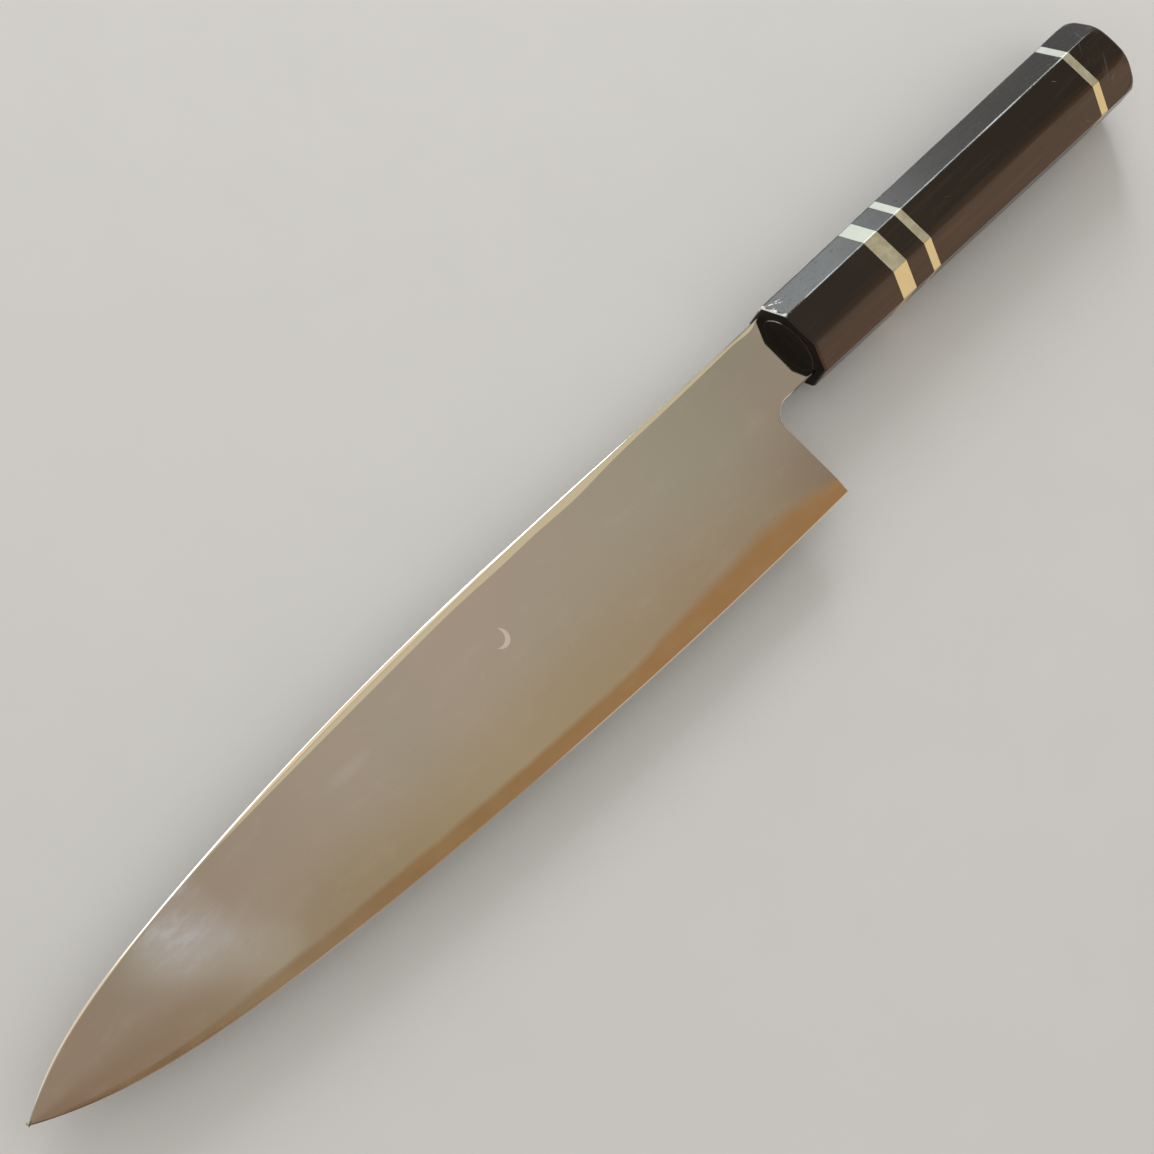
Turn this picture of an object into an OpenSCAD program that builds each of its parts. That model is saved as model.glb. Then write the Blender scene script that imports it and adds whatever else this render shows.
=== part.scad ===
// Chef's knife of the Japanese pattern: a forged blade with a hidden tang, in an
// eight-sided ebony handle with three silver rings.
// The knife lies on its side. X runs from the tip to the butt, Y from the edge to
// the spine and Z through the thickness. The pieces are drawn about the handle's
// axis with x = 0 at the front shoulder of the handle, and place() then moves them
// so that the origin is under the middle of the whole knife.

/* [Blade outline] */
// Length of the blade from heel to tip, along the knife
blade_len = 268; // [240:1:300]
// Depth of the blade at the heel, from spine to edge
blade_depth = 50; // [46:0.5:56]
// Height of the spine above the handle's axis
spine_rise = 11.1; // [9:0.1:12]
// Straight run of the spine, forward of the heel
spine_straight = 88; // [40:1:120]
// Drop of the tip below the spine
tip_drop = 22.9; // [17:0.1:28]
// Straight run of the edge, forward of the heel
edge_straight = 11; // [0:1:40]
// Share of the tip's drop given by the even curve of the spine, the rest by the nose
spine_even = 0.65; // [0.5:0.01:0.9]
// Sharpness of the spine's last turn down to the tip
spine_nose = 11; // [7:0.5:14]
// Share of the tip's lift given by the even belly of the edge, the rest by the nose
edge_even = 0.61; // [0.5:0.01:0.9]
// Sharpness of the edge's last turn up to the tip
edge_nose = 10; // [7:0.5:14]

/* [Blade thickness] */
// Thickness at the spine above the heel
spine_t = 3.6; // [2.8:0.1:4.4]
// Thickness that the line of the spine comes to at the tip
fore_t = 1.7; // [1.4:0.1:2.2]
// Thickness at the heel just behind the edge, before the bevel
shoulder_t = 1.7; // [1.4:0.1:2.2]
// Rise of each bevel face, in mm of half thickness per mm of depth
bevel_slope = 0.103; // [0.08:0.001:0.14]
// Flat left at the very edge
edge_t = 0.1; // [0.05:0.01:0.2]
// How far down each side the easing of the spine runs
spine_ease = 2.2; // [0.8:0.1:2.6]

/* [Neck and tang] */
// Length of the neck, from the heel to its shoulder at the handle
neck_len = 19.3; // [15:0.1:26]
// Depth of the neck, from the spine to its lower side
neck_depth = 21; // [17:0.1:24]
// How far the neck's shoulder is let into the face of the boss
neck_seat_depth = 0.7; // [0.3:0.1:1.5]
// Radius of the notch between the neck and the heel
choil_r = 6.4; // [3:0.1:9]
// Length of the tang, behind the neck's shoulder
tang_len = 100; // [80:1:110]
// Depth of the tang at the shoulder
tang_depth = 11.4; // [9:0.1:11.8]
// Depth of the tang at its end
tang_end_depth = 6.6; // [4:0.1:9]
// Thickness of the tang at the shoulder
tang_t = 3; // [2:0.1:3]
// Thickness of the tang at its end
tang_end_t = 2.2; // [1.4:0.1:2.6]

/* [Handle faces] */
// Depth across the edge and spine faces, at the front
front_depth = 24.5; // [22:0.1:28]
// Thickness across the two broad faces, at the front
front_width = 20.3; // [19:0.1:23]
// Distance across two opposite corner faces, at the front
front_corner = 22.7; // [21:0.1:25]
// Depth across the edge and spine faces, at the butt
butt_depth = 27.2; // [25:0.1:30]
// Thickness across the two broad faces, at the butt
butt_width = 23.3; // [21:0.1:26]
// Distance across two opposite corner faces, at the butt
butt_corner = 25.7; // [24:0.1:28]
// Slant of the corner faces from the edge and spine faces, in degrees
corner_slant = 51.3; // [45:0.1:56]

/* [Handle ends] */
// Radius of the turned boss at the front
boss_r = 8.1; // [7.5:0.05:9.5]
// How far the boss stands out from the front shoulder
boss_len = 0.7; // [0.3:0.1:2]
// Slope of the front shoulder, in degrees from square
shoulder_slope = 8; // [2:1:20]
// Radius of the dome that closes the butt
butt_dome_r = 34; // [28:1:80]

/* [Handle pieces] */
// Length of the ebony ferrule behind the front shoulder
ferrule_len = 34; // [28:0.1:44]
// Length of the wide ring
wide_ring_len = 5.8; // [3:0.1:10]
// Length of the ebony spacer between the two front rings
spacer_len = 8; // [4:0.1:14]
// Length of the narrow ring
narrow_ring_len = 3; // [1.5:0.1:6]
// Length of the ebony grip
grip_len = 77; // [70:0.5:90]
// Length of the ring near the butt
rear_ring_len = 3; // [1.5:0.1:6]
// Length of the butt cap
butt_cap_len = 16.9; // [14:0.1:22]

/* [Inside the handle] */
// Diameter of the split dowel that holds the tang
core_d = 15; // [14.4:0.1:16]
// Wood left in the ferrule in front of the dowel
front_wall = 5; // [4:0.1:8]
// How far the dowel runs past the end of the tang
core_past_tang = 5; // [2:0.5:8]
// Diameter of the dowel that carries the rear ring and the butt cap
butt_dowel_d = 8; // [6:0.1:10]
// Length of that dowel in the grip and in the butt cap, each
butt_dowel_grip = 9; // [6:0.5:12]
// Play between a dowel and its bore, filled with glue
glue_gap = 0.08; // [0.02:0.01:0.2]
// Play around the tang in its slot
slot_gap = 0.2; // [0.1:0.05:0.4]
// Width of the resin seal around the tang, at the mouth of its slot
seal_w = 0.8; // [0.5:0.1:1.2]
// Depth of the seal below the face of the boss
seal_depth = 3.4; // [2.4:0.1:4]

/* [Hidden] */

// Stretches of the handle along x, from the front shoulder
wide_ring_x = ferrule_len;
spacer_x = wide_ring_x + wide_ring_len;
narrow_ring_x = spacer_x + spacer_len;
grip_x = narrow_ring_x + narrow_ring_len;
rear_ring_x = grip_x + grip_len;
butt_cap_x = rear_ring_x + rear_ring_len;
handle_len = butt_cap_x + butt_cap_len;

// Face of the boss
face_x = -boss_len;

// Stations of the blade. The neck's shoulder is let a little way into the boss.
shoulder_x = face_x + neck_seat_depth;
heel_x = shoulder_x - neck_len;
tip_x = heel_x - blade_len;
neck_low_y = spine_rise - neck_depth;
edge_y = spine_rise - blade_depth;
tip_lift = blade_depth - tip_drop;
tang_end_x = shoulder_x + tang_len;

// Slopes of the blade's flat sides, per side
side_slope_x = (spine_t - fore_t) / 2 / blade_len;
side_slope_y = (spine_t - shoulder_t) / 2 / blade_depth;

// Dowels
core_start_x = front_wall;
core_end_x = tang_end_x + core_past_tang;
butt_dowel_x = rear_ring_x - butt_dowel_grip;
butt_dowel_len = 2 * butt_dowel_grip + rear_ring_len;

// Place of the whole knife: its box is centred on the origin and stands on z = 0
butt_sag = butt_dome_r - sqrt(butt_dome_r * butt_dome_r - butt_width * butt_width / 4);
lowest = (butt_width - (butt_width - front_width) * butt_sag / handle_len) / 2;
side_sag = butt_dome_r - sqrt(butt_dome_r * butt_dome_r - butt_depth * butt_depth / 4);
spine_side = (butt_depth - (butt_depth - front_depth) * side_sag / handle_len) / 2;

// Room for cutting blocks, larger than the knife
reach = 900;
// Half thickness that clears the blade everywhere
clear_t = 4;
// Steps along the curved stretches of the blade
steps = 44;
// Fineness of the round surfaces
$fn = 96;

// Faces of the octagon: turn about the axis, distance at the front, at the butt
FACES = [for (turn = [0, 180]) each [
    [turn, front_depth / 2, butt_depth / 2],
    [turn + corner_slant, front_corner / 2, butt_corner / 2],
    [turn + 90, front_width / 2, butt_width / 2],
    [turn - corner_slant, front_corner / 2, butt_corner / 2]
]];

module place() {
    translate([-(tip_x + handle_len) / 2, -(edge_y + spine_side) / 2, lowest]) children();
}

// ---- Blade ----

// Share of the way through a curve that starts level: an even part and a last turn
function curve(u, even, nose) = u <= 0 ? 0 : even * u * u + (1 - even) * pow(u, nose);

// Height of the spine and of the edge at s, the distance forward of the heel
function spine_at(s) =
    spine_rise - tip_drop * curve((s - spine_straight) / (blade_len - spine_straight), spine_even, spine_nose);
function edge_at(s) =
    edge_y + tip_lift * curve((s - edge_straight) / (blade_len - edge_straight), edge_even, edge_nose);

// Half thickness of the flat sides at s, at the height of the spine there
function half_t_at(s) = spine_t / 2 - side_slope_x * s - side_slope_y * (spine_rise - spine_at(s));

// Stations from s = a to the tip, closer together as the curves turn
function stations(a, straight) = concat(
    [a],
    [for (i = [0:steps]) straight + (blade_len - straight) * (1 - pow(1 - i / steps, 1.5))]
);

// Closed skin over rings of points, one ring per station
module skin(rings) {
    n = len(rings[0]);
    last = len(rings) - 1;
    polyhedron(
        points = [for (ring = rings) each ring],
        faces = concat(
            [[for (i = [0:n - 1]) i]],
            [for (k = [0:last - 1], i = [0:n - 1]) let (j = (i + 1) % n)
                [k * n + i, (k + 1) * n + i, (k + 1) * n + j, k * n + j]],
            [[for (i = [n - 1:-1:0]) last * n + i]]
        ),
        convexity = 4
    );
}

// Cross-section points [y, z] with their mirror images, as one ring at station s
function ring_at(s, half) = concat(
    [for (p = half) [heel_x - s, p[0], p[1]]],
    [for (i = [len(half) - 1:-1:0]) [heel_x - s, half[i][0], -half[i][1]]]
);

// Everything above the two bevel faces, which meet in the edge
module above_edge() {
    rise = 1.5 * blade_depth;
    skin([for (s = stations(0, edge_straight)) ring_at(s, [
        [edge_at(s), edge_t / 2],
        [edge_at(s) + rise, edge_t / 2 + bevel_slope * rise]
    ])]);
}

// Everything below the eased top of the spine, from the neck's shoulder to the tip
module below_spine() {
    skin([for (s = stations(-neck_len, spine_straight)) let (y = spine_at(s), t = half_t_at(s)) ring_at(s, [
        [y - 1.5 * blade_depth, clear_t],
        [y - spine_ease, clear_t],
        [y - spine_ease, t],
        [y - 0.3 * spine_ease, 0.86 * t],
        [y, 0.52 * t]
    ])]);
}

// Half-space under the flat upper side of the blade
module under_side() {
    turn_y = -atan(side_slope_x);
    turn_x = atan(side_slope_y * cos(turn_y));
    translate([heel_x, spine_rise, spine_t / 2])
        rotate([turn_x, turn_y, 0])
            translate([-reach / 2, -reach / 2, -reach])
                cube(reach);
}

// Neck from above: a straight bar with the round notch in front of the heel
module neck_outline() {
    overlap = choil_r;
    translate([heel_x - overlap, neck_low_y])
        square([neck_len + overlap, neck_depth + 1]);
    translate([heel_x - overlap, neck_low_y - choil_r])
        difference() {
            square([overlap + choil_r, 2 * choil_r]);
            translate([overlap + choil_r, 0]) circle(r = choil_r);
        }
}

// Tang, tapered in depth and thickness, grown by gap on every side but the front
module tang(gap = 0) {
    front_x = shoulder_x - 1;
    end_x = tang_end_x + gap;
    intersection() {
        linear_extrude(height = 2 * clear_t, center = true)
            polygon([
                [front_x, -tang_depth / 2 - gap], [end_x, -tang_end_depth / 2 - gap],
                [end_x, tang_end_depth / 2 + gap], [front_x, tang_depth / 2 + gap]
            ]);
        rotate([90, 0, 0])
            linear_extrude(height = 2 * tang_depth, center = true)
                polygon([
                    [front_x, -tang_t / 2 - gap], [end_x, -tang_end_t / 2 - gap],
                    [end_x, tang_end_t / 2 + gap], [front_x, tang_t / 2 + gap]
                ]);
    }
}

module blade() {
    color([0.66, 0.63, 0.58]) place() {
        intersection() {
            union() {
                above_edge();
                linear_extrude(height = 2 * clear_t, center = true) neck_outline();
            }
            below_spine();
            under_side();
            mirror([0, 0, 1]) under_side();
        }
        tang();
    }
}

// ---- Handle ----

// Low round boss turned on the front of the ferrule
module boss() {
    bar_along_x(face_x, 1, 2 * boss_r);
}

// Cone that slopes the front shoulder, wider than the octagon
module shoulder_cone() {
    wide = front_depth;
    rotate([0, 90, 0]) rotate_extrude()
        polygon([
            [0, 0],
            [boss_r, 0],
            [wide, (wide - boss_r) * tan(shoulder_slope)],
            [wide, ferrule_len + 1],
            [0, ferrule_len + 1]
        ]);
}

// Dome that closes the butt
module butt_dome() {
    translate([handle_len - butt_dome_r, 0, 0]) sphere(r = butt_dome_r);
}

// Eight tapered faces
module octagon() {
    intersection_for (face = FACES)
        rotate([face[0], 0, 0])
            translate([0, face[1], 0])
                rotate([0, 0, atan((face[2] - face[1]) / handle_len)])
                    translate([-reach / 2, -reach, -reach / 2])
                        cube(reach);
}

// Length of the handle's outer form between two stations
module handle_slice(from_x, to_x) {
    intersection() {
        octagon();
        translate([from_x, -butt_depth, -butt_depth])
            cube([to_x - from_x, 2 * butt_depth, 2 * butt_depth]);
    }
}

module bar_along_x(from_x, to_x, d) {
    translate([from_x, 0, 0]) rotate([0, 90, 0]) cylinder(d = d, h = to_x - from_x);
}

// Bore for the split dowel, open through a piece
module core_bore(from_x, to_x) {
    bar_along_x(from_x, to_x, core_d + 2 * glue_gap);
}

// Pocket behind the face of the boss that the resin seal fills, open at the front
module seal_pocket(open = 0) {
    translate([face_x - open, -tang_depth / 2 - seal_w, -tang_t / 2 - seal_w])
        cube([seal_depth + open, tang_depth + 2 * seal_w, tang_t + 2 * seal_w]);
}

// Room that the end of the neck takes in the face of the boss
module neck_seat() {
    seat_t = spine_t + 2 * side_slope_x * neck_len;
    translate([heel_x, neck_low_y, -seat_t / 2])
        cube([neck_len, neck_depth, seat_t]);
}

module tang_seal() {
    color([0.12, 0.1, 0.09]) place() difference() {
        seal_pocket();
        tang();
        neck_seat();
    }
}

module ferrule() {
    color([0.16, 0.14, 0.13]) place() difference() {
        union() {
            intersection() {
                handle_slice(0, wide_ring_x);
                shoulder_cone();
            }
            boss();
        }
        core_bore(core_start_x, wide_ring_x + 1);
        tang(slot_gap);
        seal_pocket(open = 1);
        neck_seat();
    }
}

// A piece bored right through for the split dowel
module bored_piece(from_x, to_x) {
    difference() {
        handle_slice(from_x, to_x);
        core_bore(from_x - 1, to_x + 1);
    }
}

module wide_ring() {
    color([0.8, 0.79, 0.74]) place() bored_piece(wide_ring_x, spacer_x);
}

module spacer() {
    color([0.16, 0.14, 0.13]) place() bored_piece(spacer_x, narrow_ring_x);
}

module narrow_ring() {
    color([0.8, 0.79, 0.74]) place() bored_piece(narrow_ring_x, grip_x);
}

module butt_bore(play) {
    bar_along_x(butt_dowel_x - play, butt_dowel_x + butt_dowel_len + play, butt_dowel_d + 2 * play);
}

module grip() {
    color([0.16, 0.14, 0.13]) place() difference() {
        handle_slice(grip_x, rear_ring_x);
        core_bore(grip_x - 1, core_end_x + glue_gap);
        butt_bore(glue_gap);
    }
}

module rear_ring() {
    color([0.8, 0.79, 0.74]) place() difference() {
        handle_slice(rear_ring_x, butt_cap_x);
        butt_bore(glue_gap);
    }
}

module butt_cap() {
    color([0.16, 0.14, 0.13]) place() difference() {
        intersection() {
            handle_slice(butt_cap_x, handle_len + 1);
            butt_dome();
        }
        butt_bore(glue_gap);
    }
}

// One half of the split dowel, with half of the tang's slot let into its flat
module core_half() {
    difference() {
        bar_along_x(core_start_x, core_end_x, core_d);
        translate([core_start_x - 1, -core_d, -2 * core_d])
            cube([core_end_x - core_start_x + 2, 2 * core_d, 2 * core_d]);
        tang(slot_gap);
    }
}

module core_dowel_upper() {
    color([0.85, 0.78, 0.6]) place() core_half();
}

module core_dowel_lower() {
    color([0.82, 0.74, 0.56]) place() mirror([0, 0, 1]) core_half();
}

module butt_dowel() {
    color([0.85, 0.78, 0.6]) place() butt_bore(0);
}

blade();
tang_seal();
ferrule();
wide_ring();
spacer();
narrow_ring();
grip();
rear_ring();
butt_cap();
core_dowel_upper();
core_dowel_lower();
butt_dowel();
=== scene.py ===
from math import cos, pi, radians, sin, sqrt

import bmesh
import bpy
import numpy as np
from mathutils import Matrix, Quaternion, Vector


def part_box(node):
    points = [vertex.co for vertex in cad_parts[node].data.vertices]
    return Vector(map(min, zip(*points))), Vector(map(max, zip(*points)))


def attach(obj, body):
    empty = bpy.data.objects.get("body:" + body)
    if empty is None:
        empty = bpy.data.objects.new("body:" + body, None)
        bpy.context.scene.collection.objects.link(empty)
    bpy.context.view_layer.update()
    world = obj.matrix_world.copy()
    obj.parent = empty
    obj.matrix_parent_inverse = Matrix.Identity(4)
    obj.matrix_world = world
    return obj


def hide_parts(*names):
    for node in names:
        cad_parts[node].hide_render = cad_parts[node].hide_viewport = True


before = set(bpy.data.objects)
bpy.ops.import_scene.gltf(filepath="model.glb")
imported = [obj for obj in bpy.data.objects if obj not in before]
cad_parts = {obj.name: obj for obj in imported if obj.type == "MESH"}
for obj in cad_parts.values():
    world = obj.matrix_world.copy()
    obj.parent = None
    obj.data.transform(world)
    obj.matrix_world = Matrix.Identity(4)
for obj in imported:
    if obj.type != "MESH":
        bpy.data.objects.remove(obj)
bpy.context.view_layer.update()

# ---- The blade blank ----
# One bar of forged steel, cut to the outline of the blade, its neck and the notch
# behind the heel. It starts as a flat sheet on the middle plane of the knife, with
# its rows following the spine and the edge, ready to be ground.
mm = 0.001
blade_low, blade_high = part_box("blade")
ring_low, ring_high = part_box("wide_ring")
ferrule_len = 34 * mm
axis = Vector((ring_low.x - ferrule_len, (ring_low.y + ring_high.y) / 2, (ring_low.z + ring_high.z) / 2))
blade_len, neck_len, neck_depth, choil_r = 268 * mm, 19.3 * mm, 21 * mm, 6.4 * mm
heel_x = blade_low.x + blade_len
shoulder_x = heel_x + neck_len
spine_line, edge_line = blade_high.y, blade_low.y
neck_low = spine_line - neck_depth
notch_y = neck_low - choil_r
spine_drop, drop_starts = 22.9 * mm, 88 * mm
belly_rise, belly_starts = 27.1 * mm, 11 * mm


def turn_down(share, even, nose):
    """A curve that starts level: an even part and a last sharper turn."""
    share = np.clip(share, 0, 1)
    return even * share**2 + (1 - even) * share**nose


def spine_at(s):
    """Height of the spine at a station forward of the heel."""
    share = (s - drop_starts) / (blade_len - drop_starts)
    return spine_line - spine_drop * turn_down(share, even=0.65, nose=11)


def edge_at(s):
    """Height of the edge at a station forward of the heel."""
    share = (s - belly_starts) / (blade_len - belly_starts)
    return edge_line + belly_rise * turn_down(share, even=0.61, nose=10)


def drawn_through(marks, values, s):
    """A smooth line through values set at marks along the blade, all in millimetres, read at s."""
    marks, values = np.array(marks, float), np.array(values, float)
    slopes = np.gradient(values, marks)
    k = int(np.clip(np.searchsorted(marks, s / mm) - 1, 0, len(marks) - 2))
    gap = marks[k + 1] - marks[k]
    t = min(max((s / mm - marks[k]) / gap, 0), 1)
    start = (1 + 2 * t) * (1 - t) ** 2 * values[k] + t * (1 - t) ** 2 * gap * slopes[k]
    end = t * t * (3 - 2 * t) * values[k + 1] - t * t * (1 - t) * gap * slopes[k + 1]
    return float(start + end) * mm


# By station in millimetres: width of the bevel, then of the spine's outer strip and of both strips
bevel_widths = [
    (0, 4.4), (8, 6), (22, 7.8), (42, 7.3), (78, 4.9), (160, 4.2), (200, 3.2), (235, 1.8), (268, 0.6)]
strip_widths = [
    (-20, 0.2, 0.3), (-17, 0.2, 0.35), (-15.6, 0.25, 0.9), (-6, 0.36, 1.1), (15, 0.4, 1.55), (45, 0.38, 2.0),
    (60, 0.4, 2.75), (75, 0.45, 2.5), (90, 0.68, 2.65), (105, 0.85, 2.4), (120, 0.95, 2.5), (140, 0.95, 2.5),
    (160, 0.9, 2.15), (180, 0.75, 1.5), (200, 0.6, 0.9), (240, 0.6, 0.8), (268, 0.35, 0.45)]


def widths_at(s):
    """Width of the bevel, of the spine's outer strip and of both its strips."""
    bevel_marks, bevel_values = zip(*bevel_widths)
    marks, outer_values, both_values = zip(*strip_widths)
    bevel = drawn_through(bevel_marks, bevel_values, max(s, 0))
    return bevel, drawn_through(marks, outer_values, s), drawn_through(marks, both_values, s)


# Stations forward of the heel, and back along the neck: close together at every turn
tip_part = 32 * mm
body_s = np.concatenate([
    np.array([0, 0.05, 0.11, 0.18, 0.26, 0.35, 0.45, 0.6, 0.9, 1.4, 2.2, 3.3]) * mm,
    np.linspace(4.6 * mm, blade_len - tip_part, 150),
    blade_len - tip_part * (1 - np.linspace(0, 1, 70)[1:]) ** 1.7,
])
notch_turn = np.linspace(0, pi / 2, 30)[1:]
neck_s = -np.concatenate([choil_r * (1 - np.cos(notch_turn)), np.linspace(choil_r, neck_len, 12)[1:]])

# Rows across: the honed edge, the bevel, the rim of the notch and the rounding of the spine
edge_rows = np.array([0, 0.06, 0.13, 0.2, 0.25, 0.29, 0.36, 0.5]) * mm
bevel_rows = np.array([0.16, 0.28, 0.42, 0.55, 0.7, 0.8, 0.87, 0.93, 0.98, 1.03, 1.09, 1.16, 1.26, 1.4])
rim_rows = np.array([0, 0.04, 0.1, 0.17, 0.25, 0.34, 0.45, 0.62, 0.9]) * mm
spine_rows = np.array([
    1, 0.7, 0.476, 0.27, 0.164, 0.1035, 0.0657, 0.0409, 0.0244, 0.0133, 0.006, 0.0018, 0])
between_rows = 5

# Where the blade is less deep than this, near the tip, the widths shrink with it
full_size_depth = 9 * mm


def top_of_side(s, small):
    """Where the flat side ends and the strips of the spine begin."""
    return spine_at(s) - widths_at(s)[2] - 0.6 * mm * small


def rows_above(bottom, s, small):
    """Heights of one station's points from a lower line up to the top of the spine."""
    _, outer, both = (w * small for w in widths_at(s))
    rim = bottom + rim_rows * small
    side = np.linspace(rim[-1], top_of_side(s, small), 14)[1:]
    strips = spine_at(s) - np.array([both + 0.25 * mm * small, both, (outer + both) / 2])
    return np.concatenate([rim, side, strips, spine_at(s) - outer * spine_rows])


def rows_below(bottom, s, small):
    """Heights of one station's points from the edge up to that line."""
    bevel = widths_at(s)[0]
    low = np.concatenate([edge_rows * small, bevel * bevel_rows]) + edge_at(s)
    return np.concatenate([low, np.linspace(low[-1], bottom, between_rows + 2)[1:-1]])


band_top = edge_line + bevel_rows[-1] * widths_at(0)[0]
notch_share = (notch_y - band_top) / (top_of_side(0, 1) - band_top)
points, faces = [], []
facts = {name: [] for name in ("station", "from_edge", "from_spine", "from_back", "bevel", "outer", "both")}


def add_column(s, heights, small):
    """Puts one station's points in the sheet, with what the grinding needs to know at each."""
    first = len(points)
    widths = [w * small for w in widths_at(s)]
    for y in heights:
        points.append((heel_x - s, y, axis.z))
        in_notch = sqrt((s + choil_r) ** 2 + (y - notch_y) ** 2) - choil_r
        from_back = s if y < notch_y else in_notch if s > -choil_r else y - neck_low
        known = (s, y - edge_at(max(s, 0)), spine_at(s) - y, from_back, *widths)
        for name, value in zip(facts, known):
            facts[name].append(float(value))
    return list(range(first, len(points)))


def join_columns(old, new):
    """Fills the sheet between two stations' points with four-sided faces."""
    for j in range(len(old) - 1):
        faces.append((old[j], old[j + 1], new[j + 1], new[j]))


last = None
for s in body_s:
    small = min(1, (spine_at(s) - edge_at(s)) / full_size_depth)
    low = edge_at(s) + bevel_rows[-1] * widths_at(s)[0]
    bottom = low + notch_share * (top_of_side(s, small) - low)
    heights = np.concatenate([rows_below(bottom, s, small), rows_above(bottom, s, small)])
    column = add_column(s, heights, small)
    if last:
        join_columns(last, column)
    else:
        heel_column = column
    last = column
last = heel_column[len(edge_rows) + len(bevel_rows) + between_rows:]
for s in neck_s:
    bottom = notch_y + sqrt(max(choil_r**2 - (choil_r + s) ** 2, 0)) if s > -choil_r else neck_low
    column = add_column(s, rows_above(bottom, s, 1), 1)
    join_columns(column, last)
    last = column

sheet = bpy.data.meshes.new("blade_blank")
sheet.from_pydata(points, [], faces)
for name, values in facts.items():
    sheet.attributes.new(name, "FLOAT", "POINT").data.foreach_set("value", values)
blank = bpy.data.objects.new("blade_blank", sheet)
bpy.context.collection.objects.link(blank)

# ---- Grinding the blade ----
# Both sides are ground flat with a slight taper to the edge and to the tip, and meet
# in two bevels with a fine honed edge. The spine is eased in two strips, the corners
# behind the heel are rubbed down, and the tang runs back into the handle.
spine_t, edge_t = 3.6 * mm, 0.1 * mm
tip_taper, edge_taper = 0.0035448, 0.019
bevel_blend, honed_to, strip_curve, least_half = 0.07 * mm, 0.4, 0.58, 0.012 * mm
tang_len = 100 * mm
steel = bpy.data.materials.new("ground_steel")


class Socket:
    """An output in a node tree. Sums on it add Math nodes, and node() adds any other kind."""

    def __init__(self, tree, output=None):
        self.tree, self.output = tree, output

    def node(self, kind, settings={}, inputs={}, output=0):
        made = self.tree.nodes.new(kind)
        for name, value in settings.items():
            if name == "stops":
                ramp = made.color_ramp.elements
                while len(ramp) < len(value):
                    ramp.new(1)
                for stop, (place, colour) in zip(ramp, value):
                    stop.position, stop.color = place, colour
            else:
                setattr(made, name, value)
        for name, value in inputs.items():
            for one in value if isinstance(value, list) else [value]:
                if isinstance(one, Socket):
                    self.tree.links.new(one.output, made.inputs[name])
                else:
                    made.inputs[name].default_value = one
        return Socket(self.tree, made.outputs[output] if made.outputs else None)

    def math(self, operation, *values):
        return self.node("ShaderNodeMath", {"operation": operation}, dict(enumerate(values)))

    def __add__(self, other):
        return self.math("ADD", self, other)

    def __sub__(self, other):
        return self.math("SUBTRACT", self, other)

    def __rsub__(self, other):
        return self.math("SUBTRACT", other, self)

    def __mul__(self, other):
        return self.math("MULTIPLY", self, other)

    def __truediv__(self, other):
        return self.math("DIVIDE", self, other)

    def __pow__(self, other):
        return self.math("POWER", self, other)

    __radd__, __rmul__ = __add__, __mul__

    def __abs__(self):
        return self.math("ABSOLUTE", self)

    def below(self, limit):
        return self.math("LESS_THAN", self, limit)

    def least(self, other):
        return self.math("MINIMUM", self, other)

    def most(self, other):
        return self.math("MAXIMUM", self, other)

    def along(self, letter):
        """One part of a vector: X, Y or Z."""
        return self.node("ShaderNodeSeparateXYZ", {}, {0: self}, output=letter)

    def vector(self, x=0.0, y=0.0, z=0.0):
        """A vector put together from its three parts."""
        return self.node("ShaderNodeCombineXYZ", {}, {"X": x, "Y": y, "Z": z})

    def fade(self, start, end, low=0.0, high=1.0):
        """Low up to start, high from end, with a smooth change between. Start may lie above end."""
        if start > end:
            start, end, low, high = end, start, high, low
        limits = {"Value": self, "From Min": start, "From Max": end, "To Min": low, "To Max": high}
        return self.node("ShaderNodeMapRange", {"interpolation_type": "SMOOTHSTEP"}, limits)


def new_tree(name, numbers):
    """A Geometry Nodes tree with named number inputs, and its input sockets."""
    tree = bpy.data.node_groups.new(name, "GeometryNodeTree")
    tree.interface.new_socket("Geometry", in_out="INPUT", socket_type="NodeSocketGeometry")
    for number in numbers:
        tree.interface.new_socket(number, in_out="INPUT", socket_type="NodeSocketFloat")
    tree.interface.new_socket("Geometry", in_out="OUTPUT", socket_type="NodeSocketGeometry")
    inlet = tree.nodes.new("NodeGroupInput")
    return tree, {s.name: Socket(tree, s) for s in inlet.outputs if s.name}


def made_by(tree, base, name, numbers):
    """The plain mesh that a tree makes from a base object, which is then removed."""
    modifier = base.modifiers.new(tree.name, "NODES")
    modifier.node_group = tree
    for item in tree.interface.items_tree:
        if item.in_out == "INPUT" and item.name in numbers:
            modifier[item.identifier] = float(numbers[item.name])
    graph = bpy.context.evaluated_depsgraph_get()
    changed = base.evaluated_get(graph)
    mesh = bpy.data.meshes.new_from_object(changed, preserve_all_data_layers=True, depsgraph=graph)
    base.modifiers.remove(modifier)
    old = base.data
    bpy.data.objects.remove(base)
    bpy.data.meshes.remove(old)
    made = bpy.data.objects.new(name, mesh)
    mesh.name = name
    bpy.context.collection.objects.link(made)
    return made


grinding = {
    "Spine thickness": spine_t, "Taper to the tip": tip_taper, "Taper to the edge": edge_taper,
    "Edge thickness": edge_t, "Hone slope": 0.1, "Strip slope": 0.19, "Spine flat": 0.52,
    "Corner round": 0.45 * mm,
}
tree, given = new_tree("grind_blade", grinding)
wires = given["Geometry"]
fact = {}
for name in facts:
    fact[name] = wires.node("GeometryNodeInputNamedAttribute", {"data_type": "FLOAT"}, {"Name": name})
below_spine = spine_line - wires.node("GeometryNodeInputPosition").along("Y")

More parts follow.
